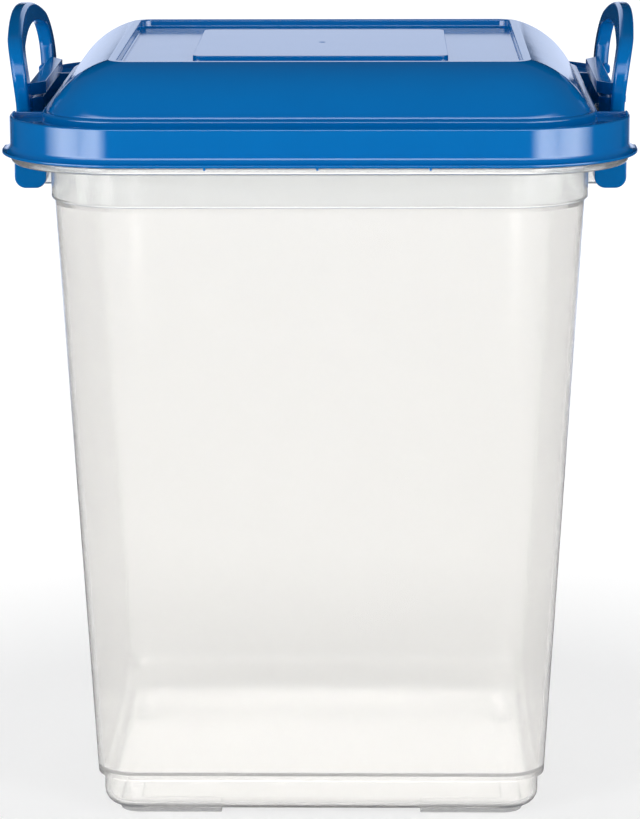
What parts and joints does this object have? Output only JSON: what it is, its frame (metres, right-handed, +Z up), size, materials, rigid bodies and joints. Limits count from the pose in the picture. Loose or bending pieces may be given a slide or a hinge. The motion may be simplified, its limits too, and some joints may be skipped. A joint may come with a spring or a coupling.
{
  "type": "rice bin",
  "caption": "Square clear storage tub for dry grain with a lift-off domed lid and two side handles that flip up over the lid and swing outwards on hinge pins.",
  "frame": {"origin": "on the floor, under the middle of the tub", "axes": "+Z up, +X to the right-hand handle, -Y to the front as seen in the picture"},
  "size_m": [0.2864, 0.282, 0.3618],
  "materials": {
    "clear_plastic": "gloss",
    "blue_plastic": "gloss",
    "silicone": "satin",
    "pin_steel": "satin"
  },
  "bodies": {
    "container": {"container_body": "clear_plastic", "left_front_hinge_pin": "pin_steel", "left_rear_hinge_pin": "pin_steel", "right_front_hinge_pin": "pin_steel", "right_rear_hinge_pin": "pin_steel"},
    "lid": {"lid_cover": "blue_plastic", "lid_seal": "silicone"},
    "left_handle": {"left_handle": "blue_plastic"},
    "right_handle": {"right_handle": "blue_plastic"}
  },
  "joints": [
    {"name": "lid_lift", "type": "slide", "parent": "container", "child": "lid", "axis": [0, 0, 1], "range_m": [0, 0.15]},
    {"name": "left_handle_hinge", "type": "hinge", "parent": "container", "child": "left_handle", "pos_m": [-0.13015, 0, 0.2931], "axis": [0, -1, 0], "range_deg": [0, 150]},
    {"name": "right_handle_hinge", "type": "hinge", "parent": "container", "child": "right_handle", "pos_m": [0.13015, 0, 0.2931], "axis": [0, 1, 0], "range_deg": [0, 150]}
  ]
}
